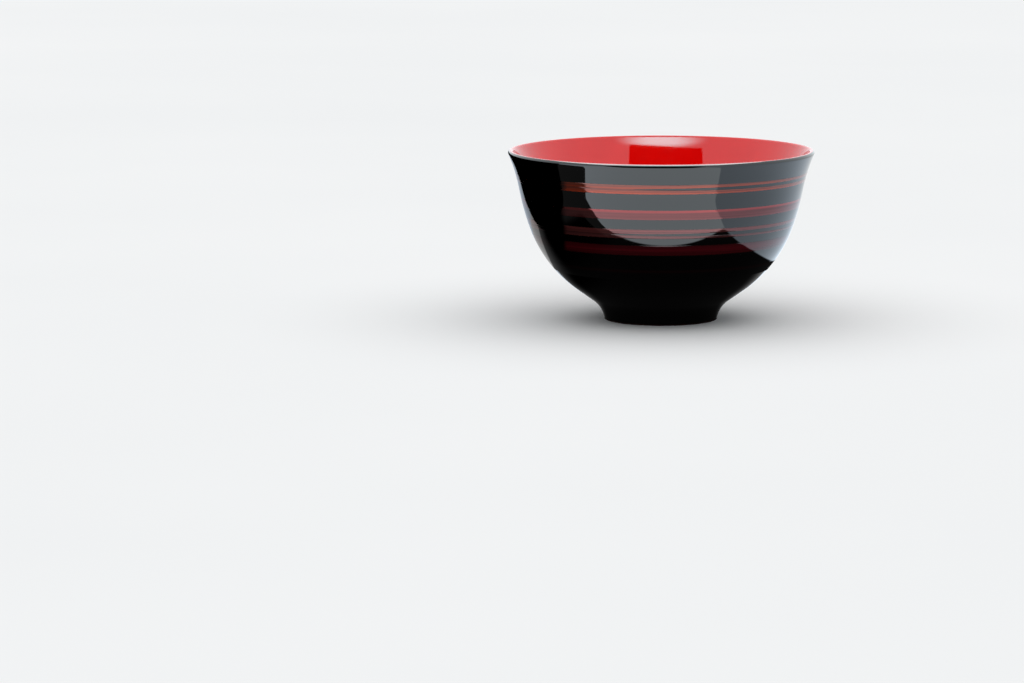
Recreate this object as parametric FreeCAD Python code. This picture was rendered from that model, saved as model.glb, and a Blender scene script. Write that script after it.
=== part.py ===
import FreeCAD, Part
import math
import os

# Lacquered rice bowl, turned about the Z axis.
# Millimetres and degrees. The origin is the centre of the foot, on the surface it rests on.
# Sections are drawn in the lathe plane, as radius and height. A heading of 0 points away
# from the axis, and a heading of 90 points up.

# Foot
FOOT_RADIUS = 21.8
EDGE_COAT = 0.3
EDGE_ROUNDING = 0.25

# Outside wall, from the top of the foot's edge coat up to the lip
UPRIGHT = 90.0
OUTSIDE_MOVES = [
    ("turn", 3.0, 70.5),
    ("line", 0.75),
    ("turn", 11.4, 35.0),
    ("line", 7.1),
    ("turn", 50.0, 69.5),
    ("turn", 93.0, 78.3),
    ("line", 3.0),
    ("turn", 65.6, 66.9),
]

# Lip: a half round between the two faces of the wall
LIP_THICKNESS = 2.0
LIP_CREST_HEADING = 156.9
LIP_END_HEADING = 246.9

# Inside wall, from the lip down to the start of the floor
INSIDE_MOVES = [
    ("turn", 100.0, 256.4),
    ("line", 4.6),
    ("turn", 62.0, 235.0),
    ("turn", 31.4, 188.0),
]
TOWARDS_AXIS = 180.0

# Recess under the foot, from the axis outwards and down
RECESS_DEPTH = 4.6
RECESS_DOME_RADIUS = 156.0
RECESS_DOME_EDGE = -6.0
RECESS_CORNER_RADIUS = 1.8
RECESS_WALL_HEADING = -86.0

# Coats
GROUND_COAT = 0.2
TOP_COAT = 0.1
ALL_COATS = GROUND_COAT + TOP_COAT
FOOT_COAT = ALL_COATS
BRUSH_FILM = 0.08
BRUSH_STEP = 0.6

# Brushed bands: the name, and the heights of the lower and the upper edge
BRUSH_BANDS = [
    ("band_1_upper_strand", 56.3, 57.7),
    ("band_1_lower_strand", 54.2, 55.8),
    ("band_2", 44.3, 47.9),
    ("band_3_upper_strand", 39.0, 40.5),
    ("band_3_lower_strand", 37.0, 38.2),
    ("band_4", 30.2, 34.4),
    ("band_5", 22.7, 24.5),
]

AXIS_POINT = FreeCAD.Vector(0, 0, 0)
AXIS = FreeCAD.Vector(0, 0, 1)


class Place:
    """A spot in the lathe plane and the heading of a path there."""

    def __init__(self, radius, height, heading):
        self.radius = radius
        self.height = height
        self.heading = heading

    def vector(self):
        """The spot as a point in space."""
        return FreeCAD.Vector(self.radius, 0, self.height)

    def ahead(self, distance):
        """The place that lies straight ahead."""
        angle = math.radians(self.heading)
        radius = self.radius + distance * math.cos(angle)
        height = self.height + distance * math.sin(angle)
        return Place(radius, height, self.heading)

    def left(self, distance):
        """The place to the left, with the same heading."""
        angle = math.radians(self.heading)
        radius = self.radius - distance * math.sin(angle)
        height = self.height + distance * math.cos(angle)
        return Place(radius, height, self.heading)

    def turned(self, turn_radius, heading):
        """The place after a turn about a centre on the side that the heading turns to."""
        side = 1.0 if heading > self.heading else -1.0
        centre = self.left(side * turn_radius)
        return Place(centre.radius, centre.height, heading).left(-side * turn_radius)


def walk(start, moves, inset=0.0):
    """Follow the moves from a place; give the edges and the places passed.

    An inset shifts the whole path to its left, so that its arcs stay concentric.
    """
    place = start.left(inset)
    places = [place]
    edges = []
    for move in moves:
        if move[0] == "line":
            after = place.ahead(move[1])
            edges.append(Part.LineSegment(place.vector(), after.vector()).toShape())
        else:
            turn_radius, heading = move[1], move[2]
            side = 1.0 if heading > place.heading else -1.0
            true_radius = turn_radius - side * inset
            middle = place.turned(true_radius, (place.heading + heading) / 2.0)
            after = place.turned(true_radius, heading)
            arc = Part.Arc(place.vector(), middle.vector(), after.vector())
            edges.append(arc.toShape())
        place = after
        places.append(place)
    return edges, places


def joining_line(first, second):
    """A straight edge between two places."""
    return Part.LineSegment(first.vector(), second.vector()).toShape()


def turned_solid(edges):
    """Turn a closed section about the axis."""
    wire = Part.Wire(Part.__sortEdges__(edges))
    solid = Part.Face(wire).revolve(AXIS_POINT, AXIS, 360)
    if solid.Volume < 0:
        solid.reverse()
    return solid


def layer(start, moves, near, far):
    """A turned coat between two insets of one path."""
    near_edges, near_places = walk(start, moves, near)
    far_edges, far_places = walk(start, moves, far)
    ends = [
        joining_line(near_places[0], far_places[0]),
        joining_line(near_places[-1], far_places[-1]),
    ]
    return turned_solid(near_edges + far_edges + ends)


def floor_move(start, moves):
    """The last turn of the inside wall, with its centre on the axis."""
    place = walk(start, moves)[1][-1]
    floor_radius = place.radius / math.sin(math.radians(place.heading - TOWARDS_AXIS))
    return ("turn", floor_radius, TOWARDS_AXIS)


def recess_moves(inset):
    """The recess path, with its wall long enough to reach the foot's edge coat."""
    curves = [
        ("turn", RECESS_DOME_RADIUS, RECESS_DOME_EDGE),
        ("turn", RECESS_CORNER_RADIUS, RECESS_WALL_HEADING),
    ]
    corner_end = walk(RECESS_START, curves, inset)[1][-1]
    drop = corner_end.height - EDGE_COAT
    return curves + [("line", drop / math.sin(math.radians(-RECESS_WALL_HEADING)))]


def make_wood_core():
    """The turned wooden body: wall, floor and foot ring in one piece."""
    wall_edges, wall_places = walk(WALL_START, WALL_MOVES, ALL_COATS)
    recess_edges, recess_places = walk(RECESS_START, recess_moves(FOOT_COAT), FOOT_COAT)
    edges = wall_edges + recess_edges
    edges.append(joining_line(wall_places[-1], recess_places[0]))
    edges.append(joining_line(recess_places[-1], wall_places[0]))
    return turned_solid(edges)


def make_recess_coat():
    """The coat on the ceiling and the wall of the recess."""
    seen_edges, seen_places = walk(RECESS_START, recess_moves(0.0))
    back_edges, back_places = walk(RECESS_START, recess_moves(FOOT_COAT), FOOT_COAT)
    ends = [
        joining_line(seen_places[0], back_places[0]),
        joining_line(seen_places[-1], back_places[-1]),
    ]
    return turned_solid(seen_edges + back_edges + ends)


def make_edge_coat():
    """The ring of lacquer under the foot, which carries the bowl."""
    inner_radius = walk(RECESS_START, recess_moves(0.0))[1][-1].radius
    drop = EDGE_COAT - EDGE_ROUNDING
    flat = FOOT_RADIUS - inner_radius - 2.0 * EDGE_ROUNDING
    moves = [
        ("line", drop),
        ("turn", EDGE_ROUNDING, 0.0),
        ("line", flat),
        ("turn", EDGE_ROUNDING, UPRIGHT),
        ("line", drop),
    ]
    edges, places = walk(Place(inner_radius, EDGE_COAT, -UPRIGHT), moves)
    edges.append(joining_line(places[-1], places[0]))
    return turned_solid(edges)


def surface_point(outline, height):
    """The point of an outline at a height."""
    reach = 2.0 * outline.BoundBox.XMax
    level = Part.LineSegment(FreeCAD.Vector(0, 0, height), FreeCAD.Vector(reach, 0, height))
    return outline.distToShape(level.toShape())[1][0][0]


def make_band(low, high):
    """A brushed band between two heights, laid in short straight steps along the wall."""
    coat_face = Part.Wire(walk(WALL_START, OUTSIDE_MOVES)[0])
    free_face = Part.Wire(walk(WALL_START, OUTSIDE_MOVES, -BRUSH_FILM)[0])
    steps = math.ceil((high - low) / BRUSH_STEP)
    heights = [low + (high - low) * step / steps for step in range(steps + 1)]
    corners = [surface_point(coat_face, height) for height in heights]
    corners += [surface_point(free_face, height) for height in reversed(heights)]
    return turned_solid(Part.makePolygon(corners + corners[:1]).Edges)


WALL_START = Place(FOOT_RADIUS, EDGE_COAT, UPRIGHT)
RECESS_START = Place(0.0, RECESS_DEPTH, 0.0)
HALF_LIP = LIP_THICKNESS / 2.0
OUTSIDE_AND_LIP = OUTSIDE_MOVES + [("turn", HALF_LIP, LIP_CREST_HEADING)]
LIP_CREST = walk(WALL_START, OUTSIDE_AND_LIP)[1][-1]
LIP_AND_INSIDE = [("turn", HALF_LIP, LIP_END_HEADING)] + INSIDE_MOVES
LIP_AND_INSIDE.append(floor_move(LIP_CREST, LIP_AND_INSIDE))
WALL_MOVES = OUTSIDE_AND_LIP + LIP_AND_INSIDE


def make_parts():
    """Every sub-part by name."""
    parts = {
        "wood_core": make_wood_core(),
        "outer_ground_coat": layer(WALL_START, OUTSIDE_AND_LIP, TOP_COAT, ALL_COATS),
        "outer_black_coat": layer(WALL_START, OUTSIDE_AND_LIP, 0.0, TOP_COAT),
        "inner_ground_coat": layer(LIP_CREST, LIP_AND_INSIDE, TOP_COAT, ALL_COATS),
        "inner_red_coat": layer(LIP_CREST, LIP_AND_INSIDE, 0.0, TOP_COAT),
        "foot_recess_coat": make_recess_coat(),
        "foot_edge_coat": make_edge_coat(),
    }
    for name, low, high in BRUSH_BANDS:
        parts[name] = make_band(low, high)
    return parts


def main():
    os.makedirs("parts", exist_ok=True)
    for name, shape in make_parts().items():
        shape.exportStep(f"parts/{name}.step")
        print(f"{name}: {shape.Volume:.1f} cubic mm, valid {shape.isValid()}")


main()
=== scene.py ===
import logging
import math
from dataclasses import dataclass, field
from enum import Enum
from typing import Sequence, Union

import bmesh
import bpy
from mathutils import Matrix, Vector


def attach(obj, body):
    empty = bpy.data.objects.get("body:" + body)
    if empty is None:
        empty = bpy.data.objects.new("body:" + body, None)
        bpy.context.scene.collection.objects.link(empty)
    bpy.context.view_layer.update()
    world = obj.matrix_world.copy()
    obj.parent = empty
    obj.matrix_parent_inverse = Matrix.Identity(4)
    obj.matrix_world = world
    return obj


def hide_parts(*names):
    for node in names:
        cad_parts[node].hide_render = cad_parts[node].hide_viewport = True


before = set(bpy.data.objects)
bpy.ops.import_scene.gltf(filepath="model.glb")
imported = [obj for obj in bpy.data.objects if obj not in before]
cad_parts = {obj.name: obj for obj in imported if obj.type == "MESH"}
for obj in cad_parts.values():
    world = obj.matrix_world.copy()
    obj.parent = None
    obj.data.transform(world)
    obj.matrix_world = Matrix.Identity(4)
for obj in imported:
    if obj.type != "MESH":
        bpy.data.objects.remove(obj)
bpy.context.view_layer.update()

# Looks of a lacquered rice bowl. Metres, in the frame of the CAD model: the axis is Z and the
# foot rests on z = 0. Sections are drawn in millimetres in the lathe plane and scaled once.
# MM is a millimetre, WELD the distance under which points are welded, UPRIGHT the heading of
# an upright line, and FRONT the angle of the front round the axis, both in degrees.

MM = 0.001
WELD = 0.000002
UPRIGHT = 90.0
FRONT = 270.0
LOG = logging.getLogger("rice_bowl")
Colour = tuple[float, float, float, float]


# ---------------------------------------------------------------- section lines


@dataclass(frozen=True)
class Line:
    """A straight run of a section line.

    Attributes:
        length: Length of the run, in millimetres.
    """

    length: float


@dataclass(frozen=True)
class Turn:
    """An arc of a section line, tangent to what comes before it.

    Attributes:
        radius: Radius of the arc, in millimetres.
        heading: Heading at the end of the arc, in degrees.
    """

    radius: float
    heading: float


Move = Union[Line, Turn]


@dataclass(frozen=True)
class Spot:
    """A spot in the lathe plane.

    Attributes:
        radius: Distance from the axis, in millimetres.
        height: Height above the rest surface, in millimetres.
        heading: Heading of the line there: 0 points away from the axis, 90 points up.
    """

    radius: float
    height: float
    heading: float

    def ahead(self, distance: float) -> "Spot":
        """Give the spot straight ahead.

        Args:
            distance: Distance to it, in millimetres.

        Returns:
            The spot.
        """
        angle = math.radians(self.heading)
        radius = self.radius + distance * math.cos(angle)
        return Spot(radius, self.height + distance * math.sin(angle), self.heading)

    def left(self, distance: float) -> "Spot":
        """Give the spot to the left, with the same heading.

        Args:
            distance: Distance to it, in millimetres.

        Returns:
            The spot.
        """
        angle = math.radians(self.heading)
        radius = self.radius - distance * math.sin(angle)
        return Spot(radius, self.height + distance * math.cos(angle), self.heading)

    def turned(self, turn_radius: float, heading: float) -> "Spot":
        """Give the spot after an arc.

        Args:
            turn_radius: Radius of the arc, in millimetres.
            heading: Heading at the end of the arc, in degrees.

        Returns:
            The spot at the end of the arc.
        """
        side = 1.0 if heading > self.heading else -1.0
        centre = self.left(side * turn_radius)
        return Spot(centre.radius, centre.height, heading).left(-side * turn_radius)


@dataclass(frozen=True)
class SectionLine:
    """A line of runs and arcs in the lathe plane.

    Attributes:
        start: Where the line starts.
        moves: Its runs and arcs in order.
    """

    start: Spot
    moves: tuple[Move, ...]

    def trace(self, inset: float, spacing: float, bend: float = 4.0) -> list[Spot]:
        """Give spots along the line, shifted to its left by an inset.

        Args:
            inset: Shift to the left, in millimetres.
            spacing: Largest distance between spots, in millimetres.
            bend: Largest change of heading between spots, in degrees.

        Returns:
            The spots from the start to the end of the line.
        """
        spot = self.start.left(inset)
        spots = [spot]
        for move in self.moves:
            if isinstance(move, Line):
                steps = max(1, math.ceil(move.length / spacing))
                spots += [spot.ahead(move.length * k / steps) for k in range(1, steps + 1)]
            else:
                sweep = move.heading - spot.heading
                radius = move.radius - math.copysign(inset, sweep)
                arc = math.radians(abs(sweep)) * radius
                steps = max(math.ceil(arc / spacing), math.ceil(abs(sweep) / bend))
                headings = [spot.heading + sweep * k / steps for k in range(1, steps + 1)]
                spots += [spot.turned(radius, heading) for heading in headings]
            spot = spots[-1]
        return spots

    def end(self) -> Spot:
        """Give the last spot of the line."""
        return self.trace(0.0, 1000.0, 400.0)[-1]


@dataclass(frozen=True)
class BowlForm:
    """Sizes of the bowl's section, in millimetres and degrees.

    Attributes:
        foot_radius: Outer radius of the foot.
        edge_coat: Thickness of the coat under the foot.
        edge_rounding: Rounding of the foot's edges.
        outside: Moves of the outside wall, from the foot up to the lip.
        lip_thickness: Thickness of the wall at the lip.
        crest_heading: Heading of the line where the two colours meet on the lip.
        lip_end_heading: Heading of the line where the lip meets the inside wall.
        inside: Moves of the inside wall, from the lip down to the floor.
        recess_depth: Height of the ceiling of the recess under the foot.
        recess: Moves of the recess, from the axis outwards, without its wall.
        recess_wall_heading: Heading of the wall of the recess.
        ground_coat: Thickness of the ground coats.
        top_coat: Thickness of the black and the red coat.
    """

    foot_radius: float = 21.8
    edge_coat: float = 0.3
    edge_rounding: float = 0.25
    outside: tuple[Move, ...] = (
        Turn(3.0, 70.5),
        Line(0.75),
        Turn(11.4, 35.0),
        Line(7.1),
        Turn(50.0, 69.5),
        Turn(93.0, 78.3),
        Line(3.0),
        Turn(65.6, 66.9),
    )
    lip_thickness: float = 2.0
    crest_heading: float = 156.9
    lip_end_heading: float = 246.9
    inside: tuple[Move, ...] = (
        Turn(100.0, 256.4),
        Line(4.6),
        Turn(62.0, 235.0),
        Turn(31.4, 188.0),
    )
    recess_depth: float = 4.6
    recess: tuple[Move, ...] = (Turn(156.0, -6.0), Turn(1.8, -86.0))
    recess_wall_heading: float = -86.0
    ground_coat: float = 0.2
    top_coat: float = 0.1

    def outside_line(self) -> SectionLine:
        """Give the outside wall up to the crest of the lip.

        Returns:
            The line.
        """
        wall = self.wall_line()
        lip = Turn(self.lip_thickness / 2.0, self.crest_heading)
        return SectionLine(wall.start, wall.moves + (lip,))

    def wall_line(self) -> SectionLine:
        """Give the outside wall without the lip."""
        return SectionLine(Spot(self.foot_radius, self.edge_coat, UPRIGHT), self.outside)

    def inside_line(self) -> SectionLine:
        """Give the inside from the crest of the lip to the middle of the floor.

        Returns:
            The line.
        """
        lip = Turn(self.lip_thickness / 2.0, self.lip_end_heading)
        line = SectionLine(self.outside_line().end(), (lip,) + self.inside)
        edge = line.end()
        level = 180.0
        floor_radius = edge.radius / math.sin(math.radians(edge.heading - level))
        return SectionLine(line.start, line.moves + (Turn(floor_radius, level),))

    def recess_line(self, inset: float) -> SectionLine:
        """Give the recess under the foot, down to the coat of the foot's edge.

        Args:
            inset: Shift to the left for which the wall gets its length, in millimetres.

        Returns:
            The line from the axis to the bottom of the recess's wall.
        """
        curves = SectionLine(Spot(0.0, self.recess_depth, 0.0), self.recess)
        drop = curves.end().left(inset).height - self.edge_coat
        fall = math.sin(math.radians(-self.recess_wall_heading))
        return SectionLine(curves.start, self.recess + (Line(drop / fall),))


# ---------------------------------------------------------------- node trees


class Bench:
    """Adds nodes to one tree and wires them."""

    def __init__(self, tree: bpy.types.NodeTree) -> None:
        """Take the tree that the nodes go into."""
        self.tree = tree

    def feed(self, socket: bpy.types.NodeSocket, value: object) -> None:
        """Wire a socket to another one, or set its value.

        Args:
            socket: The input socket.
            value: An output socket, or a plain value.
        """
        if isinstance(value, bpy.types.NodeSocket):
            self.tree.links.new(value, socket)
        else:
            socket.default_value = value

    def add(self, kind: str, inputs: dict | None = None, **settings: object) -> bpy.types.Node:
        """Add a node.

        Args:
            kind: The node's type name.
            inputs: Values or output sockets, by the name or the place of the input.
            settings: The node's own settings.

        Returns:
            The node.
        """
        node = self.tree.nodes.new(kind)
        for name, value in settings.items():
            setattr(node, name, value)
        for key, value in (inputs or {}).items():
            self.feed(node.inputs[key], value)
        return node

    def calc(self, operation: str, *values: object) -> bpy.types.NodeSocket:
        """Add a maths node and give its result."""
        return self.add("ShaderNodeMath", dict(enumerate(values)), operation=operation).outputs[0]

    def vector(self, x: object = 0.0, y: object = 0.0, z: object = 0.0) -> bpy.types.NodeSocket:
        """Join three numbers into a vector."""
        return self.add("ShaderNodeCombineXYZ", {0: x, 1: y, 2: z}).outputs[0]

    def parts(self, vector: bpy.types.NodeSocket) -> list[bpy.types.NodeSocket]:
        """Split a vector into its three numbers."""
        return list(self.add("ShaderNodeSeparateXYZ", {0: vector}).outputs)

    def noise(self, vector: object, scale: float, detail: float = 2.0,
              seed: object = 0.0) -> bpy.types.NodeSocket:
        """Add a noise that runs from 0 to 1; the seed picks its pattern."""
        inputs = {"Vector": vector, "Scale": scale, "Detail": detail, "W": seed}
        return self.add("ShaderNodeTexNoise", inputs, noise_dimensions="4D").outputs[0]

    def remap(self, value: object, low: object, high: object, to_low: object,
              to_high: object) -> bpy.types.NodeSocket:
        """Map the range from low to high smoothly onto the one from to_low to to_high."""
        inputs = {0: value, 1: low, 2: high, 3: to_low, 4: to_high}
        return self.add("ShaderNodeMapRange", inputs, interpolation_type="SMOOTHSTEP").outputs[0]

    def mix(self, share: object, first: object, second: object) -> bpy.types.NodeSocket:
        """Mix two colours."""
        inputs = {0: share, 6: first, 7: second}
        return self.add("ShaderNodeMix", inputs, data_type="RGBA").outputs[2]

    def ramp(self, value: object, stops: Sequence[tuple[float, float]]) -> bpy.types.NodeSocket:
        """Run a value through a curve of grey stops.

        Args:
            value: The value, from 0 to 1.
            stops: Places and levels along the curve.

        Returns:
            The level.
        """
        node = self.add("ShaderNodeValToRGB", {0: value})
        for _ in range(len(stops) - 2):
            node.color_ramp.elements.new(0.5)
        for element, (place, level) in zip(node.color_ramp.elements, stops):
            element.position = place
            element.color = (level, level, level, 1.0)
        return node.outputs[0]


class ShapeTree:
    """Base of the geometry trees: names the inputs and ends the tree."""

    title = "shape"
    inputs: tuple[tuple[str, str], ...] = ()

    def __init__(self) -> None:
        """Make the tree with its named inputs."""
        self.tree = bpy.data.node_groups.new(self.title, "GeometryNodeTree")
        self.bench = Bench(self.tree)
        face = self.tree.interface
        face.new_socket("Geometry", in_out="OUTPUT", socket_type="NodeSocketGeometry")
        for name, kind in (("Geometry", "Geometry"),) + self.inputs + (("Finish", "Material"),):
            face.new_socket(name, in_out="INPUT", socket_type="NodeSocket" + kind)
        self.given = self.bench.add("NodeGroupInput").outputs
        self.close(self.shape())

    def shape(self) -> bpy.types.NodeSocket:
        """Build the nodes of the shape and give its geometry."""
        raise NotImplementedError

    def wrapped_grid(self, rows: object, steps: object) -> tuple[bpy.types.NodeSocket, ...]:
        """Lay a grid whose two directions both close on themselves.

        Args:
            rows: Points of the closed section.
            steps: Steps round the axis.

        Returns:
            The grid, the number of the section point and the angle round the axis.
        """
        bench = self.bench
        across = bench.calc("ADD", rows, 1.0)
        around = bench.calc("ADD", steps, 1.0)
        grid = bench.add("GeometryNodeMeshGrid", {2: across, 3: around}).outputs[0]
        index = bench.add("GeometryNodeInputIndex").outputs[0]
        column = bench.calc("FLOOR", bench.calc("DIVIDE", index, around))
        step = bench.calc("SUBTRACT", index, bench.calc("MULTIPLY", column, around))
        turn = bench.calc("DIVIDE", bench.calc("MODULO", step, steps), steps)
        angle = bench.calc("MULTIPLY", turn, math.tau)
        return grid, bench.calc("MODULO", column, rows), angle

    def close(self, geometry: bpy.types.NodeSocket) -> None:
        """Weld, smooth and dress the geometry, and end the tree.

        Args:
            geometry: The geometry.
        """
        bench = self.bench
        weld = {"Geometry": geometry, "Distance": self.given["Weld distance"]}
        geometry = bench.add("GeometryNodeMergeByDistance", weld).outputs[0]
        geometry = bench.add("GeometryNodeSetShadeSmooth", {0: geometry}).outputs[0]
        geometry = bench.add("GeometryNodeRealizeInstances", {0: geometry}).outputs[0]
        dress = {"Geometry": geometry, "Material": self.given["Finish"]}
        geometry = bench.add("GeometryNodeSetMaterial", dress).outputs[0]
        bench.add("NodeGroupOutput", {0: geometry})


class LatheTree(ShapeTree):
    """Turns a closed section line about the axis."""

    title = "turned_section"
    inputs = (("Steps round", "Int"), ("Weld distance", "Float"))

    def shape(self) -> bpy.types.NodeSocket:
        """Build the turned shell.

        Returns:
            The shell before it is welded.
        """
        bench, given = self.bench, self.given
        size = bench.add("GeometryNodeAttributeDomainSize", {0: given["Geometry"]})
        rows = size.outputs["Point Count"]
        grid, row, angle = self.wrapped_grid(rows, given["Steps round"])
        place = bench.add("GeometryNodeInputPosition").outputs[0]
        pick = {"Geometry": given["Geometry"], "Value": place, "Index": row}
        drawn = bench.add("GeometryNodeSampleIndex", pick, data_type="FLOAT_VECTOR")
        spin = {"Vector": drawn.outputs[0], "Angle": angle}
        turned = bench.add("ShaderNodeVectorRotate", spin, rotation_type="Z_AXIS").outputs[0]
        return bench.add("GeometryNodeSetPosition", {0: grid, 2: turned}).outputs[0]


class BandTree(ShapeTree):
    """Lays a brushed film round the wall, with wandering edges and bristle ridges."""

    title = "brushed_band"
    inputs = (
        ("Steps round", "Int"),
        ("Weld distance", "Float"),
        ("Steps across", "Int"),
        ("Steps behind", "Int"),
        ("Wall bottom", "Float"),
        ("Wall step", "Float"),
        ("Low edge", "Float"),
        ("High edge", "Float"),
        ("Low edge opening", "Float"),
        ("High edge opening", "Float"),
        ("Opening start", "Float"),
        ("Opening spread", "Float"),
        ("Film", "Float"),
        ("Sink", "Float"),
        ("Wander", "Float"),
        ("Bristle", "Float"),
        ("Seed", "Float"),
    )
    # Angles after the start of the opening between which two strands join again.
    join_from = math.radians(170.0)
    join_to = math.radians(250.0)

    def wall_spot(self, height: bpy.types.NodeSocket) -> tuple[bpy.types.NodeSocket, ...]:
        """Read the wall at a height.

        Args:
            height: The height, in metres.

        Returns:
            The spot of the wall in the lathe plane, and the step along the wall there.
        """
        bench, given = self.bench, self.given
        rise = bench.calc("SUBTRACT", height, given["Wall bottom"])
        count = bench.calc("DIVIDE", rise, given["Wall step"])
        below = bench.calc("FLOOR", count)
        place = bench.add("GeometryNodeInputPosition").outputs[0]
        spots = []
        for number in (below, bench.calc("ADD", below, 1.0)):
            pick = {"Geometry": given["Geometry"], "Value": place, "Index": number}
            node = bench.add("GeometryNodeSampleIndex", pick, data_type="FLOAT_VECTOR")
            spots.append(node.outputs[0])
        step = bench.add("ShaderNodeVectorMath", {0: spots[1], 1: spots[0]},
                         operation="SUBTRACT").outputs[0]
        blend = {0: bench.calc("SUBTRACT", count, below), 4: spots[0], 5: spots[1]}
        return bench.add("ShaderNodeMix", blend, data_type="VECTOR").outputs[1], step

    def edges(self, angle: bpy.types.NodeSocket) -> list[bpy.types.NodeSocket]:
        """Find the two edges of the film at an angle.

        Args:
            angle: Angle round the axis, in radians.

        Returns:
            Heights of the low and the high edge.
        """
        bench, given = self.bench, self.given
        start = bench.calc("SUBTRACT", angle, given["Opening start"])
        past = bench.calc("FLOORED_MODULO", start, math.tau)
        share = bench.calc("DIVIDE", past, given["Opening spread"])
        wide = bench.calc("SQRT", bench.calc("MINIMUM", share, 1.0))
        joined = bench.remap(past, self.join_from, self.join_to, 1.0, 0.0)
        opening = bench.calc("MULTIPLY", wide, joined)
        ring = bench.vector(bench.calc("COSINE", angle), bench.calc("SINE", angle))
        heights = []
        for side, sign in (("Low", 1.0), ("High", -1.0)):
            seed = bench.calc("ADD", given["Seed"], 5.0 * sign)
            slow = bench.calc("SUBTRACT", bench.noise(ring, 1.6, 1.0, seed), 0.5)
            fine = bench.calc("SUBTRACT", bench.noise(ring, 22.0, 3.0, seed), 0.5)
            sway = bench.calc("MULTIPLY", slow, given["Wander"])
            hairs = bench.calc("MULTIPLY", fine, given["Bristle"])
            shift = bench.calc("MULTIPLY", opening, given[side + " edge opening"])
            edge = bench.calc("MULTIPLY_ADD", shift, sign, given[side + " edge"])
            heights.append(bench.calc("ADD", edge, bench.calc("ADD", sway, hairs)))
        return heights

    def shape(self) -> bpy.types.NodeSocket:
        """Build the film.

        Returns:
            The closed film before it is welded.
        """
        bench, given = self.bench, self.given
        top, behind = given["Steps across"], given["Steps behind"]
        rows = bench.calc("ADD", top, behind)
        grid, row, angle = self.wrapped_grid(rows, given["Steps round"])
        low, high = self.edges(angle)
        forth = bench.calc("DIVIDE", row, top)
        back = bench.calc("DIVIDE", bench.calc("SUBTRACT", rows, row), behind)
        is_top = bench.calc("LESS_THAN", row, bench.calc("ADD", top, 0.5))
        across = bench.add("ShaderNodeMix", {0: is_top, 2: back, 3: forth}).outputs[0]
        height = bench.calc("MULTIPLY_ADD", bench.calc("SUBTRACT", high, low), across, low)
        spot, step = self.wall_spot(height)
        off_centre = bench.calc("ABSOLUTE", bench.calc("MULTIPLY_ADD", across, 2.0, -1.0))
        crown = bench.calc("SUBTRACT", 1.0, bench.calc("POWER", off_centre, 6.0))
        ring = bench.vector(bench.calc("COSINE", angle), bench.calc("SINE", angle),
                            bench.calc("MULTIPLY", height, 5200.0))
        ridges = bench.remap(bench.noise(ring, 1.0, 2.0, given["Seed"]), 0.3, 0.7, 0.85, 1.0)
        load = bench.calc("MULTIPLY", bench.calc("MULTIPLY", given["Film"], crown), ridges)
        sunk = bench.calc("MULTIPLY", given["Sink"], -1.0)
        lift = bench.add("ShaderNodeMix", {0: is_top, 2: sunk, 3: load}).outputs[0]
        out, _, up = bench.parts(step)
        normal = bench.add("ShaderNodeVectorMath", {0: bench.vector(
            up, 0.0, bench.calc("MULTIPLY", out, -1.0))}, operation="NORMALIZE").outputs[0]
        move = {0: normal, 1: bench.vector(lift, lift, lift), 2: spot}
        moved = bench.add("ShaderNodeVectorMath", move, operation="MULTIPLY_ADD").outputs[0]
        spin = {"Vector": moved, "Angle": angle}
        turned = bench.add("ShaderNodeVectorRotate", spin, rotation_type="Z_AXIS").outputs[0]
        film = bench.add("GeometryNodeSetPosition", {0: grid, 2: turned}).outputs[0]
        note = {"Geometry": film, "Name": "across", "Value": across}
        return bench.add("GeometryNodeStoreNamedAttribute", note, data_type="FLOAT").outputs[0]


def line_mesh(name: str, spots: Sequence[Spot]) -> bpy.types.Mesh:
    """Make a mesh of points from spots in the lathe plane.

    Args:
        name: Name of the mesh.
        spots: The spots, in millimetres.

    Returns:
        The mesh, in metres.
    """
    mesh = bpy.data.meshes.new(name)
    mesh.from_pydata([(s.radius * MM, 0.0, s.height * MM) for s in spots], [], [])
    return mesh


def settle(name: str, drawing: bpy.types.Mesh, tree: ShapeTree,
           values: dict[str, object], crease: float) -> bpy.types.Object:
    """Run a geometry tree on a drawing and keep its result as a plain mesh.

    Args:
        name: Name of the piece.
        drawing: What the tree starts from.
        tree: The geometry tree.
        values: Values of the tree's named inputs.
        crease: Angle from which an edge stays sharp, in degrees.

    Returns:
        The piece, with its faces outwards and no modifier.
    """
    draft = bpy.data.objects.new(name + "_drawing", drawing)
    bpy.context.scene.collection.objects.link(draft)
    modifier = draft.modifiers.new(tree.title, "NODES")
    modifier.node_group = tree.tree
    for socket in tree.tree.interface.items_tree:
        if socket.in_out == "INPUT" and socket.name in values:
            modifier[socket.identifier] = values[socket.name]
        elif socket.name == "Weld distance":
            modifier[socket.identifier] = WELD
    depsgraph = bpy.context.evaluated_depsgraph_get()
    mesh = bpy.data.meshes.new_from_object(draft.evaluated_get(depsgraph), depsgraph=depsgraph)
    mesh.name = name
    bpy.data.objects.remove(draft)
    shell = bmesh.new()
    shell.from_mesh(mesh)
    if shell.calc_volume(signed=True) < 0.0:
        bmesh.ops.reverse_faces(shell, faces=shell.faces)
        shell.to_mesh(mesh)
    shell.free()
    mesh.set_sharp_from_angle(angle=math.radians(crease))
    piece = bpy.data.objects.new(name, mesh)
    bpy.context.scene.collection.objects.link(piece)
    return piece


# ---------------------------------------------------------------- finishes


def shader(name: str) -> tuple[bpy.types.Material, Bench, bpy.types.Node]:
    """Start a material.

    Args:
        name: Name of the material.

    Returns:
        The material, its bench and its surface shader.
    """
    material = bpy.data.materials.new(name)
    material.use_nodes = True
    bench = Bench(material.node_tree)
    return material, bench, material.node_tree.nodes["Principled BSDF"]


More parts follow.
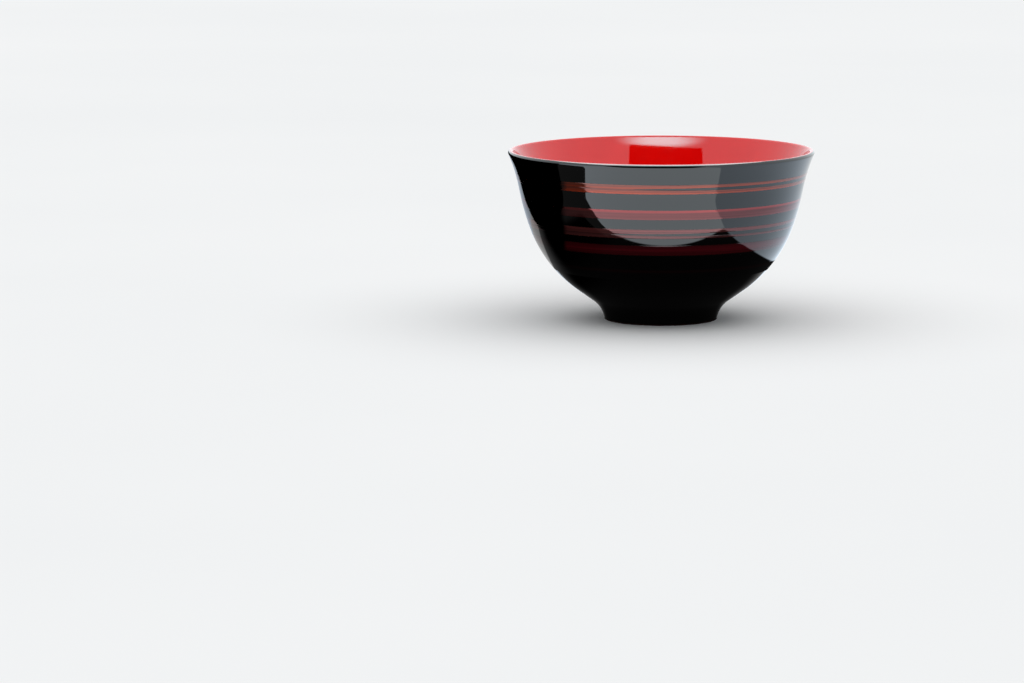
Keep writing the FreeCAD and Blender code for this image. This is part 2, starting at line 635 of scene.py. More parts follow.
def grain(bench: Bench,
          stretch: tuple[float, float, float] = (1.0, 1.0, 1.0)) -> bpy.types.NodeSocket:
    """Give the object's own coordinates, stretched along the three axes for a pattern."""
    own = bench.add("ShaderNodeTexCoord").outputs["Object"]
    return bench.add("ShaderNodeMapping", {"Vector": own, "Scale": stretch}).outputs[0]


@dataclass(frozen=True)
class Lacquer:
    """A polished lacquer coat.

    Attributes:
        name: Name of the material.
        deep: Colour of the deeper places.
        light: Colour of the lighter places.
        worn: Colour that shows through near the foot.
        worn_height: Height up to which it shows through, in metres.
        gloss: Roughness of the polish, lowest and highest.
        ior: Refractive index.
        ripple: Depth of the slow unevenness, in metres.
        nib: Height of the dust nibs, in metres.
        nib_size: Radius of a nib, as a share of the distance between places for nibs.
        nib_gap: Share of those places that stay empty.
    """

    name: str
    deep: Colour
    light: Colour
    worn: Colour = (0.09, 0.008, 0.006, 1.0)
    worn_height: float = 0.0
    gloss: tuple[float, float] = (0.02, 0.05)
    ior: float = 1.55
    ripple: float = 0.000004
    nib: float = 0.00003
    nib_size: float = 0.035
    nib_gap: float = 0.93

    def make(self) -> bpy.types.Material:
        """Make the material.

        Returns:
            The material.
        """
        material, bench, surface = shader(self.name)
        cloud = bench.noise(grain(bench), 38.0, 3.0)
        colour = bench.mix(bench.remap(cloud, 0.35, 0.65, 0.0, 1.0), self.deep, self.light)
        if self.worn_height:
            own = bench.parts(grain(bench))
            patch = bench.noise(grain(bench), 420.0, 3.0)
            reach = bench.calc("MULTIPLY", patch, 2.0 * self.worn_height)
            wear = bench.remap(own[2], 0.0, reach, 1.0, 0.0)
            colour = bench.mix(wear, colour, self.worn)
        bench.feed(surface.inputs["Base Color"], colour)
        rub = bench.noise(grain(bench, (1.0, 1.0, 9.0)), 160.0, 4.0)
        bench.feed(surface.inputs["Roughness"], bench.remap(rub, 0.3, 0.7, *self.gloss))
        surface.inputs["IOR"].default_value = self.ior
        specks = bench.add("ShaderNodeTexVoronoi", {"Vector": grain(bench), "Scale": 95.0})
        bump = bench.remap(specks.outputs["Distance"], 0.0, self.nib_size, 1.0, 0.0)
        chance = bench.parts(specks.outputs["Color"])[0]
        rare = bench.calc("MULTIPLY", bump, bench.calc("GREATER_THAN", chance, self.nib_gap))
        waves = bench.noise(grain(bench), 55.0, 1.0)
        high = bench.calc("MULTIPLY_ADD", waves, self.ripple,
                          bench.calc("MULTIPLY", rare, self.nib))
        relief = bench.add("ShaderNodeBump", {"Distance": 1.0, "Strength": 1.0, "Height": high})
        bench.feed(surface.inputs["Normal"], relief.outputs[0])
        return material


@dataclass(frozen=True)
class BrushLacquer:
    """Coloured lacquer pulled round the wall with a stiff brush.

    Attributes:
        name: Name of the material.
        lustre: Share of the light that the fine mica in the lacquer mirrors in its own colour.
        pigment: Main colour.
        accent: Colour where the brush left more lacquer.
        cover: Covering power across the film, as places from the low edge and levels.
        loaded: Share of the accent across the film, as places and levels.
        under: Colour that shows where the film is thin.
        thin: Cover left in the thinnest streaks.
        streaks: Streaks per metre of height.
        seed: Number that picks the pattern.
        ior: Refractive index.
    """

    name: str
    lustre: float
    pigment: Colour
    accent: Colour
    cover: tuple[tuple[float, float], ...]
    loaded: tuple[tuple[float, float], ...]
    under: Colour = (0.0012, 0.0008, 0.0008, 1.0)
    thin: float = 0.62
    streaks: float = 3200.0
    seed: float = 0.0
    ior: float = 1.55

    def make(self) -> bpy.types.Material:
        """Make the material.

        Returns:
            The material.
        """
        material, bench, surface = shader(self.name)
        across = bench.add("ShaderNodeAttribute", attribute_name="across").outputs["Fac"]
        hairs = bench.noise(grain(bench, (14.0, 14.0, self.streaks)), 1.0, 3.0, self.seed)
        broad = bench.noise(grain(bench, (9.0, 9.0, self.streaks * 0.3)), 1.0, 1.0, self.seed + 3.0)
        body = bench.ramp(across, self.cover)
        pull = bench.remap(hairs, 0.34, 0.6, self.thin, 1.0)
        drift = bench.remap(broad, 0.3, 0.65, 0.85, 1.0)
        cover = bench.calc("MULTIPLY", bench.calc("MULTIPLY", body, pull), drift)
        share = bench.calc("MULTIPLY", bench.ramp(across, self.loaded), pull)
        tone = bench.mix(share, self.pigment, self.accent)
        bench.feed(surface.inputs["Base Color"], bench.mix(cover, self.under, tone))
        bench.feed(surface.inputs["Roughness"], bench.remap(hairs, 0.3, 0.7, 0.09, 0.03))
        surface.inputs["Metallic"].default_value = self.lustre
        surface.inputs["IOR"].default_value = self.ior
        bump = {"Distance": 0.000002, "Strength": 0.4, "Height": hairs}
        relief = bench.add("ShaderNodeBump", bump)
        bench.feed(surface.inputs["Normal"], relief.outputs[0])
        return material


@dataclass(frozen=True)
class TurnedWood:
    """Bare wood, sawn across the trunk and turned.

    Attributes:
        name: Name of the material.
        early: Colour of the early wood.
        late: Colour of the late wood.
        ring: Growth rings per metre.
        pith: Distance of the tree's middle from the axis, in metres.
        sway: How far the rings waver, in metres.
    """

    name: str = "turned_wood"
    early: Colour = (0.46, 0.29, 0.15, 1.0)
    late: Colour = (0.24, 0.12, 0.05, 1.0)
    ring: float = 420.0
    pith: float = 0.11
    sway: float = 0.006

    def make(self) -> bpy.types.Material:
        """Make the material.

        Returns:
            The material.
        """
        material, bench, surface = shader(self.name)
        x, y, _ = bench.parts(grain(bench))
        sway = bench.noise(grain(bench, (1.0, 1.0, 0.3)), 24.0, 2.0)
        away = bench.vector(bench.calc("ADD", x, self.pith),
                            bench.calc("MULTIPLY_ADD", sway, self.sway, y))
        span = bench.add("ShaderNodeVectorMath", {0: away}, operation="LENGTH").outputs["Value"]
        wave = bench.calc("FRACT", bench.calc("MULTIPLY", span, self.ring))
        rings = bench.remap(wave, 0.55, 0.95, 0.0, 1.0)
        pores = bench.noise(grain(bench, (2600.0, 2600.0, 160.0)), 1.0, 2.0)
        tone = bench.calc("MULTIPLY_ADD", bench.remap(pores, 0.55, 0.8, 0.0, 1.0), 0.5, rings)
        bench.feed(surface.inputs["Base Color"], bench.mix(tone, self.early, self.late))
        bench.feed(surface.inputs["Roughness"], bench.remap(pores, 0.3, 0.7, 0.5, 0.75))
        relief = bench.add("ShaderNodeBump", {"Distance": 0.00002, "Height": pores})
        bench.feed(surface.inputs["Normal"], relief.outputs[0])
        return material


@dataclass(frozen=True)
class GroundCoatFinish:
    """The dull ground coat of raw lacquer and fine clay.

    Attributes:
        name: Name of the material.
        clay: Main colour.
        dark: Colour of the darker grains.
    """

    name: str = "clay_ground"
    clay: Colour = (0.11, 0.085, 0.06, 1.0)
    dark: Colour = (0.045, 0.035, 0.028, 1.0)

    def make(self) -> bpy.types.Material:
        """Make the material.

        Returns:
            The material.
        """
        material, bench, surface = shader(self.name)
        grit = bench.noise(grain(bench), 2400.0, 4.0)
        sweep = bench.noise(grain(bench, (30.0, 30.0, 900.0)), 1.0, 2.0)
        tone = bench.calc("MULTIPLY", bench.remap(grit, 0.3, 0.7, 0.0, 1.0), sweep)
        bench.feed(surface.inputs["Base Color"], bench.mix(tone, self.dark, self.clay))
        bench.feed(surface.inputs["Roughness"], bench.remap(grit, 0.3, 0.7, 0.7, 0.9))
        relief = bench.add("ShaderNodeBump", {"Distance": 0.00001, "Height": grit})
        bench.feed(surface.inputs["Normal"], relief.outputs[0])
        return material


# ---------------------------------------------------------------- pieces


class Side(Enum):
    """Which strand of a split band a piece is, or a whole band."""

    WHOLE = 0
    UPPER = 1
    LOWER = 2


@dataclass
class TurnedCoats:
    """The four lacquer coats of the bowl, each a closed turned shell.

    Attributes:
        form: Sizes of the bowl.
        steps_round: Steps round the axis.
        spacing: Distance between points on a seen face, in millimetres.
        back_spacing: Distance between points on a hidden face, in millimetres.
        crease: Angle from which an edge stays sharp, in degrees.
        tree: The tree that turns a section.
    """

    form: BowlForm
    steps_round: int = 512
    spacing: float = 0.8
    back_spacing: float = 3.0
    crease: float = 40.0
    tree: LatheTree = field(default_factory=LatheTree)

    def section(self, line: SectionLine, back: SectionLine, inset: float) -> list[Spot]:
        """Close a coat's section from its seen face and its back, an inset of a line."""
        seen = line.trace(0.0, self.spacing)
        return seen + back.trace(inset, self.back_spacing, 12.0)[::-1]

    def turn(self, name: str, spots: Sequence[Spot], finish: bpy.types.Material,
             node: str, slot: str) -> bpy.types.Object:
        """Turn a section and put the piece in place of its CAD node.

        Args:
            name: Name of the piece.
            spots: The spots round the section.
            finish: Its material.
            node: The CAD node that it stands for.
            slot: The material slot of its CAD node; not used.

        Returns:
            The piece.
        """
        values = {"Steps round": self.steps_round, "Finish": finish}
        piece = settle(name, line_mesh(name, spots), self.tree, values, self.crease)
        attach(piece, "root")
        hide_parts(node)
        return piece

    def build(self) -> list[bpy.types.Object]:
        """Build the four coats.

        Returns:
            The pieces.
        """
        form = self.form
        black = Lacquer("polished_black_lacquer", (0.0005, 0.0005, 0.0005, 1.0),
                        (0.0010, 0.0009, 0.0009, 1.0), worn=(0.02, 0.004, 0.003, 1.0),
                        worn_height=0.0009).make()
        red = Lacquer("polished_vermilion_lacquer", (0.62, 0.0012, 0.0010, 1.0),
                      (0.67, 0.0022, 0.0016, 1.0), gloss=(0.03, 0.06)).make()
        under = Lacquer("foot_black_lacquer", (0.0015, 0.0012, 0.0012, 1.0),
                        (0.003, 0.0025, 0.0025, 1.0), gloss=(0.08, 0.16)).make()
        edge = Lacquer("foot_edge_brown_lacquer", (0.010, 0.0025, 0.002, 1.0),
                       (0.022, 0.004, 0.003, 1.0), gloss=(0.18, 0.34),
                       worn=(0.05, 0.010, 0.007, 1.0), worn_height=0.00012).make()
        outside, inside = form.outside_line(), form.inside_line()
        coats = form.ground_coat + form.top_coat
        recess, recess_back = form.recess_line(0.0), form.recess_line(coats)
        return [
            self.turn("black_lacquer_outside", self.section(outside, outside, form.top_coat),
                      black, "outer_black_coat", "black_lacquer"),
            self.turn("vermilion_lacquer_inside", self.section(inside, inside, form.top_coat),
                      red, "inner_red_coat", "red_lacquer"),
            self.turn("lacquer_in_foot_recess", self.section(recess, recess_back, coats),
                      under, "foot_recess_coat", "black_lacquer"),
            self.turn("lacquer_on_foot_edge", self.foot_edge(recess.end().radius),
                      edge, "foot_edge_coat", "foot_edge_lacquer"),
        ]

    def foot_edge(self, inner_radius: float) -> list[Spot]:
        """Draw the ring of lacquer under the foot.

        Args:
            inner_radius: Radius of the recess where it meets the ring, in millimetres.

        Returns:
            The spots round the section.
        """
        form = self.form
        drop = form.edge_coat - form.edge_rounding
        flat = form.foot_radius - inner_radius - 2.0 * form.edge_rounding
        moves = (Line(drop), Turn(form.edge_rounding, 0.0), Line(flat),
                 Turn(form.edge_rounding, UPRIGHT), Line(drop))
        start = Spot(inner_radius, form.edge_coat, -UPRIGHT)
        return SectionLine(start, moves).trace(0.0, 0.4, 9.0)


@dataclass(frozen=True)
class BandPlan:
    """One brushed band or one strand of a band.

    Attributes:
        node: The CAD node that it stands for.
        slot: The material slot of its CAD node.
        low: Height of its low edge, in millimetres.
        high: Height of its high edge, in millimetres.
        finish: Its lacquer.
        side: Which strand of a split band it is.
        opening: How far a split strand's inner edge draws back, in millimetres.
        start: Where the two strands start to part, in degrees from the front to the right.
        spread: Angle over which they part, in degrees.
        wander: Slow sway of the edges, in millimetres.
        bristle: Fine unevenness of the edges, in millimetres.
    """

    node: str
    slot: str
    low: float
    high: float
    finish: BrushLacquer
    side: Side = Side.WHOLE
    opening: float = 0.0
    start: float = 0.0
    spread: float = 50.0
    wander: float = 0.35
    bristle: float = 0.22


ORANGE_TOP = BrushLacquer(
    "orange_brush_lacquer_thin", 0.2, (0.52, 0.095, 0.05, 1.0), (0.70, 0.07, 0.014, 1.0),
    ((0.0, 0.5), (0.08, 1.0), (0.45, 0.9), (0.92, 0.8), (1.0, 0.4)),
    ((0.0, 1.0), (0.4, 0.8), (0.6, 0.2), (1.0, 0.05)), seed=1.0)
ORANGE_BOTTOM = BrushLacquer(
    "orange_brush_lacquer_full", 0.2, (0.54, 0.085, 0.04, 1.0), (0.78, 0.07, 0.008, 1.0),
    ((0.0, 0.5), (0.05, 1.0), (0.45, 0.95), (0.9, 0.8), (1.0, 0.4)),
    ((0.0, 1.0), (0.35, 0.95), (0.6, 0.3), (1.0, 0.0)), seed=2.0)
CRIMSON_WIDE = BrushLacquer(
    "crimson_brush_lacquer_wide", 0.5, (0.24, 0.062, 0.064, 1.0), (0.37, 0.055, 0.055, 1.0),
    ((0.0, 0.6), (0.05, 0.9), (0.25, 0.75), (0.7, 0.8), (0.8, 1.0), (0.97, 1.0), (1.0, 0.6)),
    ((0.0, 0.15), (0.72, 0.1), (0.8, 1.0), (1.0, 1.0)), thin=0.75, seed=3.0)
CRIMSON_UPPER = BrushLacquer(
    "crimson_brush_lacquer_upper", 0.3, (0.30, 0.08, 0.078, 1.0), (0.42, 0.085, 0.08, 1.0),
    ((0.0, 0.5), (0.1, 0.8), (0.35, 0.7), (0.6, 0.95), (0.95, 0.8), (1.0, 0.4)),
    ((0.0, 0.2), (0.5, 0.3), (0.75, 0.9), (1.0, 0.3)), thin=0.7, seed=4.0)
CRIMSON_LOWER = BrushLacquer(
    "crimson_brush_lacquer_lower", 0.3, (0.26, 0.078, 0.078, 1.0), (0.36, 0.08, 0.078, 1.0),
    ((0.0, 0.5), (0.15, 0.9), (0.7, 0.7), (1.0, 0.4)),
    ((0.0, 0.8), (0.4, 0.4), (1.0, 0.1)), thin=0.7, seed=5.0)
DARK_RED = BrushLacquer(
    "dark_red_brush_lacquer_broad", 0.15, (0.30, 0.012, 0.026, 1.0), (0.42, 0.016, 0.034, 1.0),
    ((0.0, 0.1), (0.1, 0.4), (0.5, 0.6), (0.9, 0.45), (1.0, 0.1)),
    ((0.0, 0.2), (0.3, 0.6), (1.0, 0.3)), thin=0.6, streaks=2400.0, seed=6.0)
FAINT_RED = BrushLacquer(
    "dark_red_brush_lacquer_faint", 0.1, (0.03, 0.002, 0.003, 1.0), (0.045, 0.002, 0.004, 1.0),
    ((0.0, 0.05), (0.3, 0.4), (0.6, 0.6), (1.0, 0.05)),
    ((0.0, 0.3), (1.0, 0.3)), thin=0.5, streaks=2600.0, seed=7.0)

BANDS = (
    BandPlan("band_1_upper_strand", "orange_brush_lacquer", 56.0, 57.7, ORANGE_TOP,
             Side.UPPER, 0.62, -13.0, 48.0, 0.08, 0.05),
    BandPlan("band_1_lower_strand", "orange_brush_lacquer", 54.15, 56.06, ORANGE_BOTTOM,
             Side.LOWER, 0.62, -13.0, 48.0, 0.08, 0.05),
    BandPlan("band_2", "crimson_brush_lacquer", 44.3, 47.9, CRIMSON_WIDE,
             wander=0.12, bristle=0.06),
    BandPlan("band_3_upper_strand", "crimson_brush_lacquer", 38.45, 40.5, CRIMSON_UPPER,
             Side.UPPER, 0.72, -25.0, 70.0, 0.12, 0.08),
    BandPlan("band_3_lower_strand", "crimson_brush_lacquer", 37.0, 38.55, CRIMSON_LOWER,
             Side.LOWER, 0.72, -25.0, 70.0, 0.12, 0.08),
    BandPlan("band_4", "dark_red_brush_lacquer", 30.2, 34.3, DARK_RED,
             wander=0.2, bristle=0.15),
    BandPlan("band_5", "dark_red_brush_lacquer", 22.7, 24.5, FAINT_RED,
             wander=0.2, bristle=0.15),
)


@dataclass
class BrushedBands:
    """The brushed bands on the outside wall.

    Attributes:
        form: Sizes of the bowl.
        plans: The bands and strands.
        film: Thickness of the lacquer film, in metres.
        sink: Depth of the film's back below the wall, in metres.
        steps_round: Steps round the axis.
        steps_across: Steps across a film's seen face.
        steps_behind: Steps across its back.
        wall_low: Lowest height of the drawn wall, in millimetres.
        wall_high: Highest height of the drawn wall, in millimetres.
        wall_step: Height between its spots, in millimetres.
        crease: Angle from which an edge stays sharp, in degrees.
        tree: The tree that lays a film.
    """

    form: BowlForm
    plans: Sequence[BandPlan] = BANDS
    film: float = 0.00002
    sink: float = 0.00003
    steps_round: int = 900
    steps_across: int = 24
    steps_behind: int = 4
    wall_low: float = 20.0
    wall_high: float = 60.0
    wall_step: float = 0.1
    crease: float = 80.0
    tree: BandTree = field(default_factory=BandTree)

    def wall(self) -> list[Spot]:
        """Give spots of the wall at even heights.

        Returns:
            The spots, from low to high.
        """
        fine = self.form.wall_line().trace(0.0, 0.02, 1.0)
        spots, at = [], 0
        count = round((self.wall_high - self.wall_low) / self.wall_step)
        for number in range(count + 1):
            height = self.wall_low + number * self.wall_step
            while fine[at + 1].height < height:
                at += 1
            below, above = fine[at], fine[at + 1]
            share = (height - below.height) / (above.height - below.height)
            radius = below.radius + share * (above.radius - below.radius)
            spots.append(Spot(radius, height, UPRIGHT))
        return spots

    def build(self) -> list[bpy.types.Object]:
        """Build the bands."""
        spots = self.wall()
        return [self.lay(plan, spots, number) for number, plan in enumerate(self.plans)]

    def lay(self, plan: BandPlan, spots: Sequence[Spot], number: int) -> bpy.types.Object:
        """Lay one band.

        Args:
            plan: The band.
            spots: Spots of the wall at even heights.
            number: Number of the band, which picks its random edges.

        Returns:
            The piece.
        """
        values = {
            "Steps round": self.steps_round,
            "Steps across": self.steps_across,
            "Steps behind": self.steps_behind,
            "Wall bottom": self.wall_low * MM,
            "Wall step": self.wall_step * MM,
            "Low edge": plan.low * MM,
            "High edge": plan.high * MM,
            "Low edge opening": plan.opening * MM if plan.side is Side.UPPER else 0.0,
            "High edge opening": plan.opening * MM if plan.side is Side.LOWER else 0.0,
            "Opening start": math.radians(FRONT + plan.start),
            "Opening spread": math.radians(plan.spread),
            "Film": self.film,
            "Sink": self.sink,
            "Wander": plan.wander * MM,
            "Bristle": plan.bristle * MM,
            "Seed": 11.0 + 7.0 * number,
            "Finish": plan.finish.make(),
        }
        name = "brushed_" + plan.node
        piece = settle(name, line_mesh(name, spots), self.tree, values, self.crease)
        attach(piece, "root")
        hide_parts(plan.node)
        return piece


@dataclass
class HiddenBody:
    """The turned wood and the ground coats, which keep their CAD shapes.

    Attributes:
        wood: Finish of the wood.
        ground: Finish of the ground coats.
    """

    wood: TurnedWood = TurnedWood()
    ground: GroundCoatFinish = GroundCoatFinish()

    def build(self) -> list[bpy.types.Object]:
        """Dress the CAD nodes.

        Returns:
            The nodes' objects.
        """
        wood, ground = self.wood.make(), self.ground.make()
        finishes = {"wood_core": wood, "outer_ground_coat": ground, "inner_ground_coat": ground}
        for name, finish in finishes.items():
            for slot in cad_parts[name].material_slots:
                slot.material = finish
        return [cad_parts[name] for name in finishes]


# ---------------------------------------------------------------- studio


def glow(name: str, colour: Colour = (0.0, 0.0, 0.0, 1.0)
         ) -> tuple[bpy.types.Material, Bench, bpy.types.NodeSocket]:
    """Start a material that only gives off light.

    Args:
        name: Name of the material.
        colour: Colour and strength of the light.

    Returns:
        The material, its bench and the socket of its colour.
    """
    material = bpy.data.materials.new(name)
    material.use_nodes = True
    tree = material.node_tree
    tree.nodes.remove(tree.nodes["Principled BSDF"])
    bench = Bench(tree)
    light = bench.add("ShaderNodeEmission", {"Color": colour})
    tree.links.new(light.outputs[0], tree.nodes["Material Output"].inputs["Surface"])
    material.cycles.emission_sampling = "NONE"
    return material, bench, light.inputs["Color"]


@dataclass(frozen=True)
class StandPlan:
    """Sizes of the dark stand and the bright ground that a card shows, in metres.

    Attributes:
        name: Name of the card.
        height: Its height.
        left: Left edge of the stand.
        right: Right edge of the stand.
        front: Front edge of the stand.
        back: Back edge of the stand.
        dark_from: Depth from which the dark opening at the front shows.
        lean: Lean of the far light's edge on the left of the stand.
        reach: How far that edge lies behind the axis.
        tail: Width over which the far light falls off.
        seam: Lean of the seam between the front and the right ground.
        soft: Width over which an edge fades.
    """

    name: str
    height: float
    left: float
    right: float
    front: float
    back: float
    dark_from: float
    lean: float
    reach: float
    tail: float
    seam: float = 0.42
    soft: float = 0.0012


@dataclass
class GroundPicture:
    """Picture of the bright ground and the dark stand that the outside wall mirrors.

    Attributes:
        plan: Sizes of the stand.
        ledge_glow: Brightness of the front of the stand on the far left.
        front_right: Light of the ground in front, at the axis.
        front_left: Light of the ground in front, on the left.
        side_near: Light of the ground on the right, beside the bowl.
        side_far: Light of the ground on the right, behind the bowl.
        past_stand: Light of the ground on the left, behind the stand.
        opening: Edges of the dark opening, in degrees from the front to the right.
        opening_soft: Width over which those edges fade, in radians.
        opening_depth: Depth of the point that the opening is seen from, in metres.
    """

    plan: StandPlan
    ledge_glow: float
    front_right: Colour = (2.10, 2.32, 2.45, 1.0)
    front_left: Colour = (2.30, 2.56, 2.85, 1.0)
    side_near: Colour = (1.14, 1.32, 1.50, 1.0)
    side_far: Colour = (1.04, 1.07, 1.09, 1.0)
    past_stand: Colour = (0.62, 0.70, 0.80, 1.0)
    opening: tuple[float, float] = (-43.0, 31.0)
    opening_soft: float = 0.03
    opening_depth: float = -0.059

    def make(self) -> bpy.types.Material:
        """Make the card's material.

        Returns:
            The material.
        """
        material, self.bench, colour = glow(self.plan.name + "_glow")
        self.x, self.y, _ = self.bench.parts(grain(self.bench))
        dark = self.bench.vector(*[self.stand_shade()] * 3)
        ground = self.ground_tone()
        self.bench.feed(colour, self.bench.mix(self.stand_mask(), ground, dark))
        return material

    def stand_mask(self) -> bpy.types.NodeSocket:
        """Tell the stand from the ground.

        Returns:
            1 on the stand and 0 on the ground.
        """
        bench, plan, stand = self.bench, self.plan, 1.0
        for value, edge, sign in ((self.x, plan.left, 1.0), (self.x, plan.right, -1.0),
                                  (self.y, plan.front, 1.0), (self.y, plan.back, -1.0)):
            side = bench.remap(bench.calc("MULTIPLY", value, sign), edge * sign,
                               edge * sign + plan.soft, 0.0, 1.0)
            stand = bench.calc("MULTIPLY", stand, side)
        return stand

    def ground_tone(self) -> bpy.types.NodeSocket:
        """Light the ground: in front, on the right, behind the stand and at the opening.

        Returns:
            The colour of the ground.
        """
        bench, plan, x, y = self.bench, self.plan, self.x, self.y
        across = bench.calc("MULTIPLY_ADD", y, plan.seam, x)
        corner = plan.right + plan.seam * plan.front
        right = bench.remap(across, corner, corner + plan.soft, 0.0, 1.0)
        side = bench.mix(bench.remap(y, 0.0, 0.25, 0.0, 1.0), self.side_near, self.side_far)
        leftwards = bench.remap(x, -0.22, 0.0, 1.0, 0.0)
        tone = bench.mix(right, bench.mix(leftwards, self.front_right, self.front_left), side)
        past = bench.calc("MULTIPLY", bench.remap(x, -0.05, 0.0, 1.0, 0.0),
                          bench.remap(y, -0.06, 0.0, 0.0, 1.0))
        tone = bench.mix(past, tone, self.past_stand)
        angle = bench.calc("ARCTAN2", x, bench.calc("SUBTRACT", self.opening_depth, y))
        low, high = (math.radians(edge) for edge in self.opening)
        dark = bench.calc("MULTIPLY",
                          bench.remap(angle, low, low + self.opening_soft, 0.0, 1.0),
                          bench.remap(angle, high - self.opening_soft, high, 1.0, 0.0))
        dark = bench.calc("MULTIPLY", dark, bench.remap(
            y, plan.dark_from, plan.dark_from + 0.01, 1.0, 0.0))
        return bench.mix(dark, tone, (0.0, 0.0, 0.0, 1.0))

    def stand_shade(self) -> bpy.types.NodeSocket:
        """Shade the stand: almost black, with a painted shadow of the bowl close to the axis, and
        far light at its back and on its left.

        Returns:
            The grey level of the stand.
        """
        bench, plan, x, y = self.bench, self.plan, self.x, self.y
        away = bench.add("ShaderNodeVectorMath", {0: bench.vector(x, y)}, operation="LENGTH")
        # painted shadow of the bowl on the stand: darker close to the axis, lighter further out
        shade = bench.remap(away.outputs["Value"], 0.05, 0.11, 0.012, 0.09)
        shade = bench.calc("ADD", shade, bench.remap(y, 0.0, 0.05, 0.0, 0.25))
        slant = bench.calc("SUBTRACT", bench.calc("MULTIPLY_ADD", x, plan.lean, y), plan.reach)
        far = bench.calc("ADD", bench.remap(slant, 0.0, 0.004, 0.0, 0.52),
                         bench.remap(slant, -plan.tail, 0.0, 0.0, 0.13))
        ledge = bench.calc("MULTIPLY", bench.remap(y, -0.034, -0.026, self.ledge_glow, 0.0),
                           bench.remap(x, -0.085, -0.070, 1.0, 0.0))
        far = bench.calc("ADD", far, ledge)
        left = bench.remap(x, -0.045, -0.025, 1.0, 0.0)
        return bench.add("ShaderNodeMix", {0: left, 2: shade, 3: far}).outputs[0]


class Lit(Enum):
    """What a lamp lights, with the name of its light group."""

    WALL = "outside_wall"
    OTHERS = "other_pieces"
    FLOOR = "floor_only"


@dataclass(frozen=True)
class LampPlan:
    """One lamp, which looks at the bowl.

    Attributes:
        name: Name of the lamp.
        place: Where it hangs, in metres.
        power: Its power in watts, or the strength of a sun.
        size: Width of an area lamp in metres, or spread of a sun in degrees.
        lit: What it lights.
        kind: Sort of lamp.
        flagged: Whether the side flag keeps it off the left part of the wall.
        mirrored: Whether it looks straight down and shows only in the gloss.
    """

    name: str
    place: tuple[float, float, float]
    power: float
    size: float
    lit: Lit
    kind: str = "AREA"
    flagged: bool = False
    mirrored: bool = False


LAMPS = (
    LampPlan("front_key", (-0.058, -1.6, 0.45), 5.0, 0.01, Lit.WALL, flagged=True),
    LampPlan("right_fill", (1.5, 0.1, 0.5), 3.0, 0.8, Lit.WALL),
    LampPlan("back_fill", (0.0, 1.6, 0.5), 8.0, 0.8, Lit.WALL),
    LampPlan("front_inner", (0.0, -1.4, 1.3), 25.5, 1.2, Lit.OTHERS),
    LampPlan("back_inner", (0.0, 1.2, 1.6), 14.0, 1.2, Lit.OTHERS),
    LampPlan("left_inner", (-1.2, 0.15, 0.6), 4.0, 0.6, Lit.OTHERS),
    LampPlan("right_inner", (1.2, 0.15, 0.6), 4.0, 0.6, Lit.OTHERS),
    LampPlan("over_lip", (0.0, 0.48, 2.0), 140.0, 2.25, Lit.WALL, mirrored=True),
    LampPlan("over_bowl", (0.0, 0.0, 2.0), 0.8, 130.0, Lit.OTHERS, "SUN"),
    LampPlan("over_floor", (0.0, 0.0, 2.0), 3.35, 120.0, Lit.FLOOR, "SUN"),
)
MIRRORED_ONLY = ("camera", "diffuse", "transmission", "shadow")


